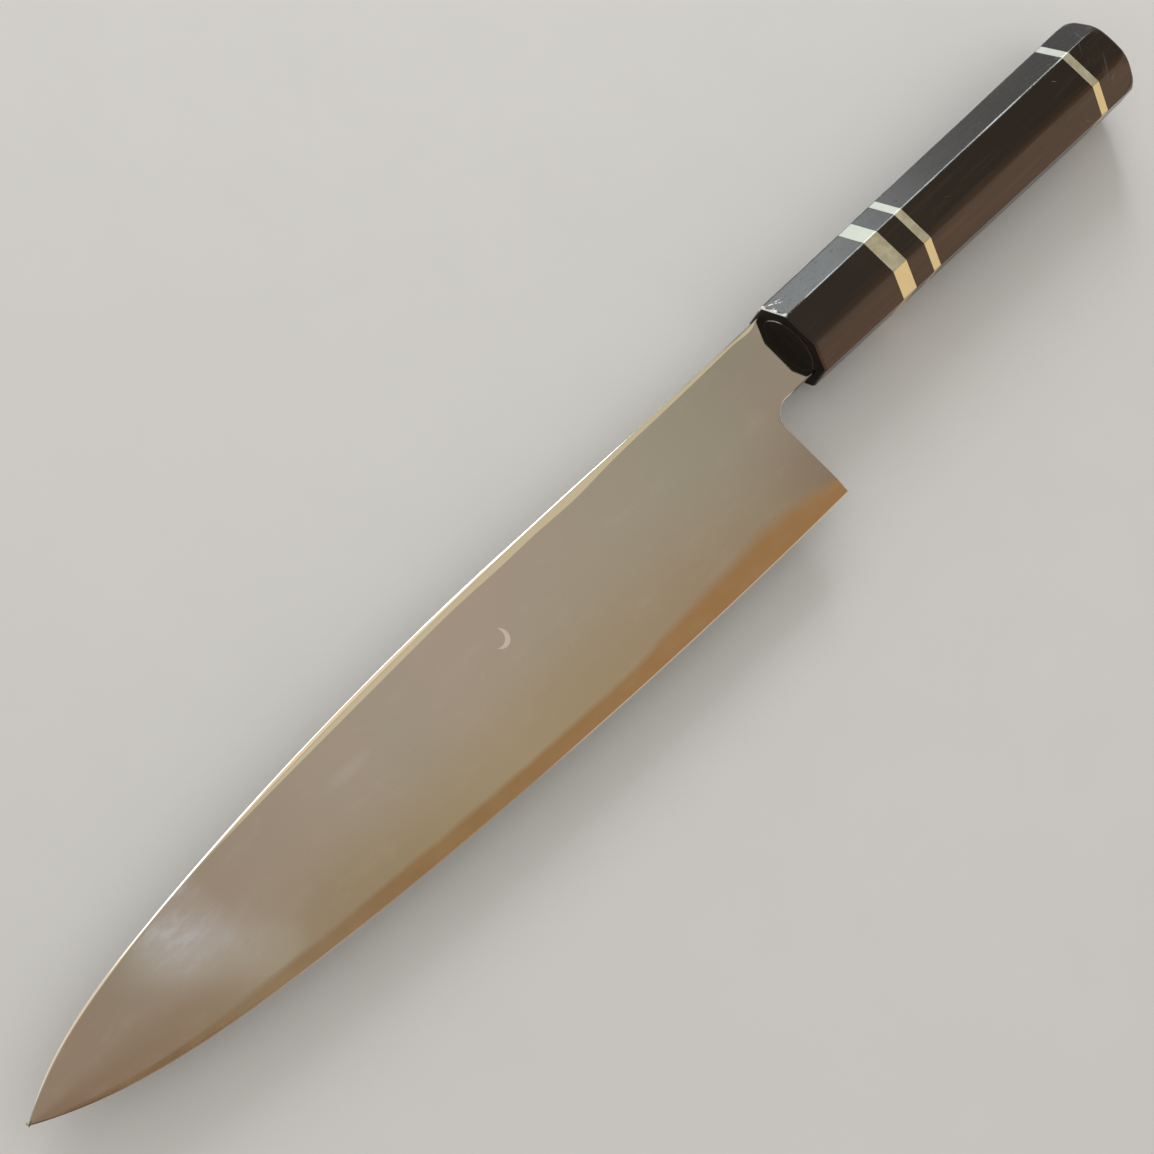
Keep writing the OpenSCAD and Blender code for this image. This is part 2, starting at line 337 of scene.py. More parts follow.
# Half thickness of the flat side, of the bevel and of the hone, and the least of them
flat = given["Spine thickness"] / 2 - given["Taper to the tip"] * fact["station"]
flat = flat - given["Taper to the edge"] * below_spine
flat_at_edge = flat - given["Taper to the edge"] * fact["from_edge"]
edge_half = given["Edge thickness"] / 2
bevel_rise = (flat_at_edge - edge_half) / fact["bevel"].most(1e-6) + given["Taper to the edge"]
bevel = edge_half + bevel_rise * fact["from_edge"]
hone = edge_half * honed_to + (bevel_rise + given["Hone slope"]) * fact["from_edge"]
ground = bevel.math("SMOOTH_MIN", bevel, flat, bevel_blend).least(hone)

# The two strips of the spine: a plain slope below and a rounding above it
strip = flat - given["Strip slope"] * (fact["both"] - fact["outer"])
crest = flat * given["Spine flat"]
down_outer = fact["from_spine"].most(0) / fact["outer"].most(1e-7)
rounded = crest + (strip - crest) * down_outer**strip_curve
inner = flat - given["Strip slope"] * (fact["both"] - fact["from_spine"])
on_outer = fact["from_spine"].below(fact["outer"])
eased = on_outer * rounded + (1 - on_outer) * inner

# The rubbed corners of the heel, the notch and the neck
corner = (1 - fact["from_back"] / given["Corner round"]).most(0).least(1)
rubbed = given["Corner round"].least(ground * 0.5) * (1 - (1 - corner * corner).most(0) ** 0.5)
half = (ground.least(eased) - rubbed).most(least_half)

# The lower side is the sheet turned over and let down, the upper one is lifted off it
up, down = wires.vector(z=half), wires.vector(z=0 - half)
lower_side = wires.node("GeometryNodeSetPosition", {}, {"Geometry": wires, "Offset": down})
lower_side = wires.node("GeometryNodeFlipFaces", {}, {"Mesh": lower_side})
lift = {"Mesh": wires, "Offset Scale": 0.0, "Individual": False}
lifted = wires.node("GeometryNodeExtrudeMesh", {"mode": "FACES"}, lift)
is_top = Socket(tree, lifted.output.node.outputs["Top"])
not_top = wires.node("FunctionNodeBooleanMath", {"operation": "NOT"}, {0: is_top})
upper_side = lifted
for chosen_faces, offset in ((is_top, up), (not_top, down)):
    move = {"Geometry": upper_side, "Selection": chosen_faces, "Offset": offset}
    upper_side = wires.node("GeometryNodeSetPosition", {}, move)
closed = wires.node("GeometryNodeJoinGeometry", {}, {0: [lower_side, upper_side]})
closed = wires.node("GeometryNodeMergeByDistance", {}, {"Geometry": closed, "Distance": 2e-7})
closed = wires.node("GeometryNodeRealizeInstances", {}, {0: closed})
closed = wires.node("GeometryNodeSetMaterial", {}, {"Geometry": closed, "Material": steel})
wires.node("NodeGroupOutput", {}, {0: closed})
blade = made_by(tree, blank, "steel_blade", grinding)

# The tang: a bar that tapers both ways, from inside the neck's shoulder to its end
bar = bmesh.new()
bar.from_mesh(blade.data)
ends = []
corners = [(-1, -1), (1, -1), (1, 1), (-1, 1)]
for x, depth, thick in ((shoulder_x - mm, 11.4 * mm, 3 * mm), (shoulder_x + tang_len, 6.6 * mm, 2.2 * mm)):
    ends.append([bar.verts.new((x, axis.y + y * depth / 2, axis.z + z * thick / 2)) for y, z in corners])
front, back = ends
sides = [(front[i], front[(i + 1) % 4], back[(i + 1) % 4], back[i]) for i in range(4)]
tang_faces = [bar.faces.new(around) for around in (front, back[::-1], *sides)]
bmesh.ops.recalc_face_normals(bar, faces=tang_faces)
for name in ("from_edge", "from_spine", "from_back"):
    for corner_point in front + back:
        corner_point[bar.verts.layers.float[name]] = neck_depth
bar.to_mesh(blade.data)
bar.free()
blade.data.shade_smooth()
blade.data.set_sharp_from_angle(angle=radians(14))
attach(blade, "root")
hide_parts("blade")


def srgb(red, green, blue):
    """A colour given as it looks on a screen, 0 to 255, made linear."""
    parts = (red / 255, green / 255, blue / 255)
    return tuple(c / 12.92 if c <= 0.04045 else ((c + 0.055) / 1.055) ** 2.4 for c in parts) + (1.0,)


def mixed(share, first, second):
    """Two colours mixed, the second by share."""
    return share.node("ShaderNodeMix", {"data_type": "RGBA"}, {0: share, 6: first, 7: second}, output=2)


def noise(point, scale, detail=2.0, roughness=0.5):
    """Soft cloudy noise from 0 to 1, with so many clouds to the metre."""
    inputs = {"Vector": point, "Scale": scale, "Detail": detail, "Roughness": roughness}
    return point.node("ShaderNodeTexNoise", {}, inputs)


def stretched(point, x, y, z):
    """Points multiplied axis by axis, so that a pattern is drawn out along one of them."""
    return point.node("ShaderNodeVectorMath", {"operation": "MULTIPLY"}, {0: point, 1: (x, y, z)})


def ramp(share, stops):
    """A colour that changes along share, from stops of place and colour."""
    return share.node("ShaderNodeValToRGB", {"stops": stops}, {"Fac": share})


def start_of(made):
    """Empties a material and gives its nodes and the point on the surface."""
    made.use_nodes = True
    made.node_tree.nodes.clear()
    start = Socket(made.node_tree)
    return start, start.node("ShaderNodeTexCoord", output="Object")


def close(made, start, relief=None, **inputs):
    """Closes a material with a Principled shader with these inputs and a relief in metres."""
    names = {name.replace("_", " "): value for name, value in inputs.items()}
    if relief:
        bump = {"Strength": 1.0, "Distance": 1.0, "Height": relief}
        names["Normal"] = start.node("ShaderNodeBump", {}, bump)
    shader = start.node("ShaderNodeBsdfPrincipled", {}, names)
    start.node("ShaderNodeOutputMaterial", {}, {"Surface": shader})


# The finish: a near-mirror with a faint cloudiness, and painted reflection of a warm room:
# its tones, warmer towards the edge and the tip, the golden tone of the hazy bevel, and two
# pale strips along the spine; with a painted highlight along the honed edge and the spine
start, here = start_of(steel)
at = {name: start.node("ShaderNodeAttribute", {"attribute_name": name}, output="Fac") for name in facts}
place_y = here.along("Y")
cloud = noise(stretched(here, 1, 1.6, 1), 26, 3, 0.55)
wisp = noise(stretched(here, 1, 2.2, 1), 75, 4, 0.6)
brushed = noise(stretched(here, 1, 40, 1), 120, 3, 0.7)
speck = noise(here, 2600, 1, 0.5).fade(0.735, 0.78)
forward = at["station"] / blade_len
upward = at["from_edge"] / (at["from_edge"] + at["from_spine"]).most(1e-6)
# Painted reflection: the side's tones along the blade and from the edge up to the spine
low_side = ramp(forward, [
    (0, srgb(136, 129, 124)), (0.08, srgb(149, 144, 135)), (0.2, srgb(154, 147, 135)),
    (0.45, srgb(161, 157, 143)), (0.6, srgb(154, 148, 132)), (0.75, srgb(149, 144, 134)),
    (0.9, srgb(141, 130, 123)), (1, srgb(135, 121, 112))])
high_side = ramp(forward, [
    (0, srgb(142, 144, 143)), (0.1, srgb(153, 158, 157)), (0.25, srgb(163, 163, 163)),
    (0.45, srgb(166, 165, 167)), (0.6, srgb(160, 161, 161)), (0.7, srgb(151, 149, 146)),
    (0.9, srgb(137, 130, 123)), (1, srgb(136, 126, 115))])
side = mixed((upward + (cloud - 0.5) * 0.3).fade(0.05, 0.75), low_side, high_side)
lilac = noise(stretched(here, 1.3, 1, 1), 14, 2, 0.5).fade(0.4, 0.6)
side = mixed(upward.fade(0.2, 0.6) * 0.3, side, mixed(lilac, srgb(156, 165, 163), srgb(169, 164, 169)))
side = mixed(wisp.fade(0.5, 0.8) * 0.14, side, srgb(180, 183, 186))

# The bevel, whose upper border is soft and ragged, its golden tone painted reflection, and the honed line
# below it
gold = ramp(forward, [
    (0, srgb(156, 130, 97)), (0.3, srgb(154, 129, 98)), (0.6, srgb(143, 123, 97)),
    (0.73, srgb(142, 129, 112)), (0.8, srgb(141, 130, 115)), (0.87, srgb(124, 110, 93)),
    (1, srgb(128, 113, 100))])
ragged = (wisp - 0.5) * 0.25 + (cloud - 0.5) * 0.2
softness = at["station"].fade(0, 70 * mm, 0.6, 0.34)
from_bevel_top = at["from_edge"] / at["bevel"].most(1e-6) + ragged - 1
on_bevel = (1 - (from_bevel_top / softness + 0.5)).most(0).least(1)
blotch = noise(stretched(here, 1, 2, 1), 110, 4, 0.6).fade(0.35, 0.75)
tone = mixed(on_bevel, side, mixed(blotch * 0.3, gold, srgb(163, 146, 123)))
# A painted highlight along the honed edge, pale, and brown near the tip as painted reflection
on_hone = at["from_edge"].fade(0.32 * mm, 0.2 * mm)
honed_edge_highlight = ramp(forward, [
    (0, srgb(212, 216, 215)), (0.38, srgb(208, 208, 204)), (0.46, srgb(168, 159, 147)),
    (0.62, srgb(166, 157, 147)), (0.71, srgb(182, 184, 184)), (0.8, srgb(162, 153, 147)),
    (0.9, srgb(146, 134, 123)), (0.95, srgb(104, 82, 71))])
tone = mixed(on_hone * 0.8, tone, honed_edge_highlight)

# The two strips of the spine: painted reflection in pale straw, a painted highlight in white on
# the outer one, a darker line between them as painted reflection, and darker on the outer
# strip beside the handle; and the rubbed corners of the heel, the notch and the neck, with a
# painted highlight on those of the heel and the notch and a darker tone on the neck's
on_strip = (at["from_spine"] - at["both"]).fade(0.05 * mm, -0.2 * mm)
# Painted reflection: the pale straw strip of the spine
tone = mixed(on_strip * at["station"].fade(203 * mm, 178 * mm, 0.15, 0.92), tone, srgb(202, 205, 192))
dark_line_between_strips = abs(at["from_spine"] - at["outer"] - 0.16 * mm).fade(0.2 * mm, 0.02 * mm)
tone = mixed(dark_line_between_strips * 0.4, tone, srgb(166, 174, 167))
# Painted highlight: white on the spine's outer strip, from about 70 mm to the tip
on_outer = (at["from_spine"] - at["outer"]).fade(0.02 * mm, -0.06 * mm)
tone = mixed(on_outer * at["station"].fade(70 * mm, 95 * mm, 0.3, 0.9), tone, srgb(232, 229, 222))
tone = mixed(on_outer * at["station"].fade(0, -9 * mm) * 0.8, tone, srgb(96, 92, 80))
# A painted highlight along the rubbed corners of the heel and the notch, and a darker tone on the neck's
on_corner = at["from_back"].fade(0.4 * mm, 0.25 * mm)
corner_highlight_and_dark_tone = mixed(at["station"].fade(-11 * mm, -7 * mm), srgb(78, 69, 60), srgb(205, 196, 192))
tone = mixed(on_corner * 0.75, tone, corner_highlight_and_dark_tone)


def reach_from(station, below_axis, length=1.0, depth=1.0):
    """Distance from a spot on the side, where length and depth count as one."""
    across = (at["station"] - station) / length
    upright = (place_y - (axis.y - below_axis)) / depth
    return (across * across + upright * upright) ** 0.5


# A faint crescent, left between two round outlines, and a milky painted reflection on the side
crescent_at, crescent_below, crescent_shift = 102.6 * mm, 4.4 * mm, 1.0 * mm
crescent = reach_from(crescent_at, crescent_below).fade(2.9 * mm, 2.6 * mm)
hollow = reach_from(crescent_at + crescent_shift, crescent_below - crescent_shift)
crescent = crescent * hollow.fade(2.65 * mm, 2.95 * mm)
tone = mixed(crescent * 0.75, tone, srgb(206, 209, 215))
# A painted reflection: a milky patch on the side
milky_reflection = reach_from(155 * mm, 2.7 * mm, 9 * mm, 2.2 * mm).fade(1.2, 0.2)
tone = mixed(milky_reflection * 0.15, tone, srgb(196, 203, 213))

# Fine polishing haze where the tip begins, in streaks along the blade, with a cool painted reflection over
# it
streaks = noise(stretched(here, 0.35, 1, 1), 380, 4, 0.65).fade(0.4, 0.75)
haze_and_reflection = at["station"].fade(199 * mm, 206 * mm) * at["station"].fade(228 * mm, 214 * mm)
haze_and_reflection = haze_and_reflection * upward.fade(0.3, 0.8)
tone = mixed(haze_and_reflection * (0.14 + 0.24 * streaks), tone, srgb(194, 210, 235))
tone = mixed(speck * 0.3, tone, srgb(96, 92, 91))

gloss = 0.05 + 0.03 * cloud + 0.12 * on_bevel + 0.1 * on_hone + 0.02 * (brushed - 0.5)
relief = (cloud + wisp * 0.1) * 3e-6 + brushed * 1e-7 - speck * 1e-6
close(steel, start, relief, Base_Color=tone, Metallic=1.0, Roughness=gloss)

# ---- The dowels ----
# The tang lies in a slot between two half-round dowels of pale wood, glued into the
# handle with a short dowel at the butt. They are out of sight and keep their CAD solids.
pale_wood = bpy.data.materials.new("dowel_magnolia")
start, here = start_of(pale_wood)
fibre = noise(stretched(here, 0.05, 1, 1), 1500, 4, 0.6)
planed = mixed(fibre, srgb(214, 196, 158), srgb(186, 163, 122))
close(pale_wood, start, Base_Color=planed, Roughness=0.55 + 0.2 * fibre)
for name in ("core_dowel_upper", "core_dowel_lower", "butt_dowel"):
    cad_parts[name].data.materials[0] = pale_wood

# ---- Ferrule ----
# The front piece of the handle: near-black ebony planed to eight sides and rubbed with
# oil to a gloss. Its flat front has a low oval boss and softened edges, and is bored
# for the split dowel and cut for the neck, the tang and its seal.
handle_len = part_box("butt_cap")[1].x - axis.x
front_depth, front_width, front_corner, corner_slant = 24.5 * mm, 20.3 * mm, 22.7 * mm, radians(51.3)
depth_growth, width_growth = 27.2 / 24.5 - 1, 23.3 / 20.3 - 1
ridge_r = 0.75 * mm
core_bore = 15.16 * mm
boss_len, boss_depth, boss_width, rim_round = 0.7 * mm, 18.4 * mm, 15.7 * mm, 0.12 * mm
front_x, front_round = -0.45 * mm, 1.0 * mm
ebony = bpy.data.materials.new("oiled_ebony")
end_grain = bpy.data.materials.new("ebony_end_grain")


def on_handle(here):
    """The point as seen from the handle's axis, whole and in its three parts."""
    from_axis = here.node("ShaderNodeVectorMath", {"operation": "SUBTRACT"}, {0: here, 1: tuple(axis)})
    return from_axis, {letter: from_axis.along(letter) for letter in "XYZ"}


# Where a point lies on the handle, and how close to a ridge between two of its faces
start, here = start_of(ebony)
from_axis, part = on_handle(here)
y_size = abs(part["Y"]) / (1 + part["X"] * (depth_growth / handle_len))
z_size = abs(part["Z"]) / (1 + part["X"] * (width_growth / handle_len))
to_flat = (z_size / (front_width / 2)).most(y_size / (front_depth / 2))
to_corner = (y_size * cos(corner_slant) + z_size * sin(corner_slant)) / (front_corner / 2)
to_ridge = to_corner.least(to_flat)
ridge = to_ridge.fade(0.972, 0.992)

# Brown streaks and open pores along the grain, worn chips on the ridges by the spine, which
# kept to that side are also a painted highlight, and a few fine scratches across, with finer
# ones on the cap
streak = noise(stretched(from_axis, 0.045, 1, 1), 620, 5, 0.6)
fine = noise(stretched(from_axis, 0.03, 1, 1), 3200, 3, 0.6)
pore = noise(stretched(from_axis, 0.07, 1, 1), 4200, 1, 0.5).fade(0.68, 0.73)
bloom = noise(from_axis, 60, 3, 0.55)
slant = {"Vector": from_axis, "Angle": radians(38)}
slanted = start.node("ShaderNodeVectorRotate", {"rotation_type": "Z_AXIS"}, slant)
scratch = noise(stretched(slanted, 0.08, 1, 0.3), 1400, 2, 0.5).fade(0.72, 0.76)
scratch = scratch * noise(from_axis, 160, 2, 0.5).fade(0.5, 0.62)
on_cap = part["X"].fade(132 * mm, 136 * mm) * part["Z"].fade(8 * mm, 10 * mm)
cap_lines = noise(stretched(slanted, 1, 0.05, 0.3), 900, 2, 0.5).fade(0.6, 0.68) * on_cap
spine_side = part["Y"].fade(1 * mm, 3 * mm) * part["Z"].fade(0, 2 * mm)
# Worn chips, kept to the spine side's ridges, where they are also a painted highlight
chips_and_glints = ridge * spine_side * noise(from_axis, 1700, 3, 0.7).fade(0.6, 0.66)

# Deep white scuffs on the front edge of the chamfer by the spine: its torn edge, and two
# lines that run back from it, each at its own slope down the chamfer
chamfer_top, chamfer_slope = 12 * mm, 0.78
grit = noise(from_axis, 1100, 4, 0.75)
torn = noise(from_axis, 420, 2, 0.6)
down_chamfer = (chamfer_top - part["Y"]) / chamfer_slope
torn_edge = part["X"] + (grit - 0.5) * 2.4 * mm + (torn - 0.5) * 4 * mm + down_chamfer * 0.09
edge_scuff = torn_edge.fade(1.0 * mm, 0.5 * mm)
first_line = abs(down_chamfer - part["X"] * 0.86)
first_scuff = first_line.fade(0.45 * mm, 0.15 * mm) * part["X"].fade(4.8 * mm, 3.2 * mm)
second_line = abs(down_chamfer - 1.0 * mm - part["X"] * 0.287)
second_reach = part["X"].fade(1.2 * mm, 2 * mm) * part["X"].fade(6 * mm, 5 * mm)
second_scuff = second_line.fade(0.35 * mm, 0.1 * mm) * second_reach
front_wear = edge_scuff.most(first_scuff.most(second_scuff) * grit.fade(0.42, 0.55))
front_wear = front_wear * part["Y"].fade(4.5 * mm, 6 * mm) * part["Z"].fade(2 * mm, 4 * mm)
front_wear = front_wear * grit.fade(0.3, 0.5)

# The wood's colours, lighter on the ridges as wear and painted highlight, a painted highlight
# in a pale glinting line on the ridges by the spine, and brown on the chamfers towards the
# edge as painted reflection of a warm wall
wood = mixed(streak.fade(0.5, 0.78), srgb(24, 18, 14), srgb(45, 34, 26))
wood = mixed(bloom.fade(0.45, 0.75) * 0.35, wood, srgb(40, 28, 21))
wood = mixed(pore * 0.8, wood, srgb(6, 5, 4))
# Lighter on all ridges: partly wear, partly painted highlight
wood = mixed(ridge * 0.35, wood, srgb(72, 64, 57))
# A painted highlight: a pale glinting line on the ridges by the spine
ridge_highlight_line = to_ridge.fade(0.984, 0.993) * spine_side
ridge_highlight_line = ridge_highlight_line * part["X"].fade(4 * mm, 9 * mm) * part["X"].fade(132 * mm, 130 * mm)
glint = noise(stretched(from_axis, 1, 0.3, 0.3), 90, 4, 0.7)
wood = mixed(ridge_highlight_line * glint.fade(0.38, 0.62, 0.2, 0.9), wood, srgb(190, 196, 201))
# Painted reflection of a warm wall: brown on the chamfers towards the edge
brown_reflection_share = part["Y"].fade(-3 * mm, -8 * mm) * part["Z"].fade(0, 3 * mm)
wood = mixed(brown_reflection_share, wood, mixed(streak.fade(0.4, 0.75), srgb(71, 44, 20), srgb(87, 56, 29)))
wood = mixed((scratch * 0.35).most(chips_and_glints * 0.7).most(cap_lines * 0.08), wood, srgb(176, 172, 165))
wood = mixed(front_wear, wood, srgb(244, 243, 240))
gloss = 0.13 + 0.07 * bloom + 0.05 * fine + 0.3 * pore + 0.15 * chips_and_glints + 0.3 * front_wear
relief = (bloom * 14 + streak * 1.2 + fine * 0.4 - pore * 3 - chips_and_glints * 15 - front_wear * 15 - scratch) * 1e-6
close(ebony, start, relief, Base_Color=wood, Roughness=gloss, IOR=1.37)

# End grain is duller and darker, with faint growth arcs, and a painted highlight in a pale line along the
# boss's rim
start, here = start_of(end_grain)
from_axis, part = on_handle(here)
boss_y, boss_z = part["Y"] / (boss_depth / 2), part["Z"] / (boss_width / 2)
arcs = noise(stretched(from_axis, 1, 0.16, 1), 900, 4, 0.6)
pits = noise(from_axis, 5200, 1, 0.5).fade(0.66, 0.72)
# A painted highlight: a pale line along the boss's rim on the front face
from_rim = abs((boss_y * boss_y + boss_z * boss_z) ** 0.5 - 0.995)
rim = from_rim.fade(0.03, 0.01) * part["X"].below(mm)
wood = mixed(arcs.fade(0.42, 0.68), srgb(13, 10, 8), srgb(34, 25, 18))
wood = mixed(pits * 0.8, wood, srgb(5, 4, 4))
wood = mixed(rim * 0.6, wood, srgb(86, 70, 57))
relief = (arcs * 2 - pits * 3) * 1e-6
close(end_grain, start, relief, Base_Color=wood, Roughness=0.34 + 0.2 * arcs, IOR=1.28)


def front_section(between):
    """The eight-sided outline at the front, from the axis, with rounded ridges.
    Each flat carries a point close to its ridges and some between."""
    half_turn = [0, corner_slant, pi / 2, pi - corner_slant]
    turns = half_turn + [pi + turn for turn in half_turn] + [2 * pi]
    reach = [d / 2 - ridge_r for d in (front_depth, front_corner, front_width, front_corner) * 2]
    rounds = []
    for k in range(8):
        a, b, ra, rb = turns[k], turns[k + 1], reach[k], reach[(k + 1) % 8]
        y = (ra * sin(b) - rb * sin(a)) / sin(b - a)
        z = (rb * cos(a) - ra * cos(b)) / sin(b - a)
        rounds.append([(y + ridge_r * cos(t), z + ridge_r * sin(t)) for t in np.linspace(a, b, 6)])
    outline = []
    for k in range(8):
        outline += rounds[k]
        (y0, z0), (y1, z1) = rounds[k][-1], rounds[(k + 1) % 8][0]
        near = 0.35 * mm / sqrt((y1 - y0) ** 2 + (z1 - z0) ** 2)
        for share in [near, *np.linspace(near, 1 - near, between + 2)[1:-1], 1 - near]:
            outline.append((y0 + (y1 - y0) * share, z0 + (z1 - z0) * share))
    return np.array(outline)


outline = front_section(9)
bearing = np.arctan2(outline[:, 1], outline[:, 0])


def flat_ring(station, drawn=0.0):
    """Points of the eight-sided outline at a station, or at one for each point, drawn in a little."""
    station = np.broadcast_to(station, len(outline))
    y = outline[:, 0] * (1 + depth_growth * station / handle_len)
    z = outline[:, 1] * (1 + width_growth * station / handle_len)
    keep = 1 - drawn / np.hypot(y, z)
    return np.stack([axis.x + station, axis.y + y * keep, axis.z + z * keep], 1)


def round_ring(station, radius):
    """Points at the same bearings as the outline's, at a radius or at one for each point."""
    station = np.broadcast_to(station, len(outline))
    y, z = radius * np.cos(bearing), radius * np.sin(bearing)
    return np.stack([axis.x + station, axis.y + y, axis.z + z], 1)


def skinned(name, rows):
    """A closed ebony skin over rings of points that run from one pole to the other."""
    count = len(outline)
    verts = [tuple(point) for row in rows for point in row]
    ring_starts = range(1, len(verts) - 1, count)
    around = []
    for i in range(count):
        j = (i + 1) % count
        for near, far in zip(ring_starts, ring_starts[1:]):
            around.append((near + i, far + i, far + j, near + j))
        around.append((0, 1 + i, 1 + j))
        around.append((len(verts) - 1, ring_starts[-1] + j, ring_starts[-1] + i))
    mesh = bpy.data.meshes.new(name)
    mesh.from_pydata(verts, [], around)
    shell = bmesh.new()
    shell.from_mesh(mesh)
    bmesh.ops.recalc_face_normals(shell, faces=shell.faces)
    shell.to_mesh(mesh)
    shell.free()
    mesh.materials.append(ebony)
    mesh.materials.append(end_grain)
    made = bpy.data.objects.new(name, mesh)
    bpy.context.collection.objects.link(made)
    return made


boss_reach = 0.5 / np.hypot(np.cos(bearing) / boss_depth, np.sin(bearing) / boss_width)
rows = [[(axis.x - boss_len, axis.y, axis.z)]]
for share in (0.07, 0.2, 0.35, 0.5, 0.65, 0.8, 0.92):
    rows.append(round_ring(-boss_len, share * boss_reach))
for turn in np.linspace(0, pi / 2, 5):
    back, inward = rim_round * (1 - cos(turn)), rim_round * (1 - sin(turn))
    rows.append(round_ring(-boss_len + back, boss_reach - inward))
reach = np.hypot(outline[:, 0], outline[:, 1])
for share in (0.0, 0.04, 0.4, 0.8):
    rows.append(round_ring(front_x, boss_reach + share * (reach - front_round - boss_reach)))
for turn in np.linspace(0, pi / 2, 9):
    back, inward = front_round * (1 - cos(turn)), front_round * (1 - sin(turn))
    rows.append(round_ring(front_x + back, reach - inward))
start_x = front_x + front_round
for share in (0.01, 0.06, 0.2, 0.4, 0.6, 0.8, 0.95):
    rows.append(flat_ring(start_x + share * (ferrule_len - 0.35 * mm - start_x)))
end_ease, bore_floor = 0.05 * mm, 5 * mm
rows += [flat_ring(ferrule_len - end_ease), flat_ring(ferrule_len, end_ease)]
rows += [round_ring(ferrule_len, core_bore / 2), round_ring(bore_floor, core_bore / 2)]
rows.append([(axis.x + bore_floor, axis.y, axis.z)])
ferrule = skinned("ebony_ferrule", rows)


def cut_away(piece, x, y, half_width, narrowed=1.0):
    """Cuts a square-sided hole between two stations and two heights, given from the handle's
    axis, that may be narrower towards the edge side of the knife."""
    box = bmesh.new()
    bmesh.ops.create_cube(box, size=1)
    low, high = Vector((x[0], y[0], -half_width)), Vector((x[1], y[1], half_width))
    size, middle = high - low, axis + (low + high) / 2
    for corner_point in box.verts:
        if corner_point.co.y < 0:
            corner_point.co.z *= narrowed
        corner_point.co = Vector(c * s for c, s in zip(corner_point.co, size)) + middle
    cutter = bpy.data.objects.new("cutter", bpy.data.meshes.new("cutter"))
    box.to_mesh(cutter.data)
    box.free()
    bpy.context.collection.objects.link(cutter)
    hole = piece.modifiers.new("hole", "BOOLEAN")
    hole.object, hole.solver = cutter, "EXACT"
    graph = bpy.context.evaluated_depsgraph_get()
    old = piece.data
    piece.data = bpy.data.meshes.new_from_object(piece.evaluated_get(graph), depsgraph=graph)
    piece.modifiers.remove(hole)
    bpy.data.meshes.remove(old)
    bpy.data.meshes.remove(cutter.data)
    piece.data.name = piece.name


# The seal's pocket, the tang's hole and the seat of the neck, which is wedge-shaped as the neck is
pocket_end, pocket_depth, pocket_width = 3.4 * mm - boss_len, 13 * mm, 4.6 * mm
cut_away(ferrule, (-boss_len - mm, pocket_end), (-pocket_depth / 2, pocket_depth / 2), pocket_width / 2)
cut_away(ferrule, (-boss_len, 6 * mm), (-5.9 * mm, 5.9 * mm), 1.7 * mm)
seat_half = spine_t / 2 + tip_taper * neck_len + 0.02 * mm
seat = {
    "x": (-9 * mm, 0), "y": (neck_low - axis.y, spine_line - axis.y), "half_width": seat_half,
    "narrowed": 1 - edge_taper * neck_depth / seat_half,
}
cut_away(ferrule, **seat)


def finish_end_piece(piece, node):
    """Gives the end faces their end grain and hands the piece over in place of its CAD node."""
    for face in piece.data.polygons:
        face.material_index = 1 if abs(face.normal.x) > 0.8 else 0
    piece.data.shade_smooth()
    piece.data.set_sharp_from_angle(angle=radians(28))
    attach(piece, "root")
    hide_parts(node)


finish_end_piece(ferrule, "ferrule")

# ---- Seal ----
# Dark resin poured into a pocket in the boss, around the root of the tang, and wiped
# flush with the end grain. It reaches up to the neck on both sides.
plug = bmesh.new()
bmesh.ops.create_cube(plug, size=1)
for corner_point in plug.verts:
    x = pocket_end if corner_point.co.x > 0 else -boss_len
    y, z = pocket_depth * corner_point.co.y, pocket_width * corner_point.co.z
    corner_point.co = axis + Vector((x, y, z))
seal = bpy.data.objects.new("resin_seal", bpy.data.meshes.new("resin_seal"))
plug.to_mesh(seal.data)
plug.free()
bpy.context.collection.objects.link(seal)
cut_away(seal, **seat)
cut_away(seal, (-mm, 4 * mm), (-5.7 * mm, 5.7 * mm), 1.51 * mm)
resin = bpy.data.materials.new("dark_resin")
start, here = start_of(resin)
dust = noise(here, 3000, 3, 0.6)
tone = mixed(dust, srgb(17, 13, 10), srgb(36, 27, 20))
close(resin, start, Base_Color=tone, Roughness=0.36 + 0.2 * dust, IOR=1.28)
seal.data.materials.append(resin)
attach(seal, "root")
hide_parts("tang_seal")

# ---- Rings, spacer and grip ----
# Straight lengths of one eight-sided taper, bored for the dowels and glued end to
# end: nickel silver rings with an ebony spacer between, and the long ebony grip.
silver = bpy.data.materials.new("satin_silver")
start, here = start_of(silver)
mottle = noise(here, 420, 4, 0.65)
rubbed_lines = noise(stretched(here, 1, 1, 22), 900, 3, 0.7)
tone = mixed(mottle.fade(0.35, 0.7), srgb(165, 166, 149), srgb(182, 184, 167))

# Painted shade on the faces towards the spine, greyer, and painted reflection on those towards the edge,
# straw-coloured
facing_y = start.node("ShaderNodeNewGeometry", output="Normal").along("Y")
tone = mixed(facing_y.fade(0.2, 0.6) * 0.7, tone, srgb(136, 139, 136))
tone = mixed(facing_y.fade(-0.2, -0.6) * 0.9, tone, srgb(219, 199, 155))
gloss = 0.34 + 0.12 * mottle + 0.06 * rubbed_lines
relief = (mottle * 5 + rubbed_lines * 0.6) * 1e-6
close(silver, start, relief, Base_Color=tone, Metallic=1.0, Roughness=gloss)

stretch = {
    "From": 0, "To": 0, "Handle length": handle_len, "Depth growth": depth_growth,
    "Width growth": width_growth, "End easing": end_ease, "Front bore": 0, "Front bore to": 0,
    "Rear bore": 0, "Rear bore from": 0, "Is silver": 0,
}
tree, given = new_tree("eight_sided_stretch", stretch)
wires = given["Geometry"]

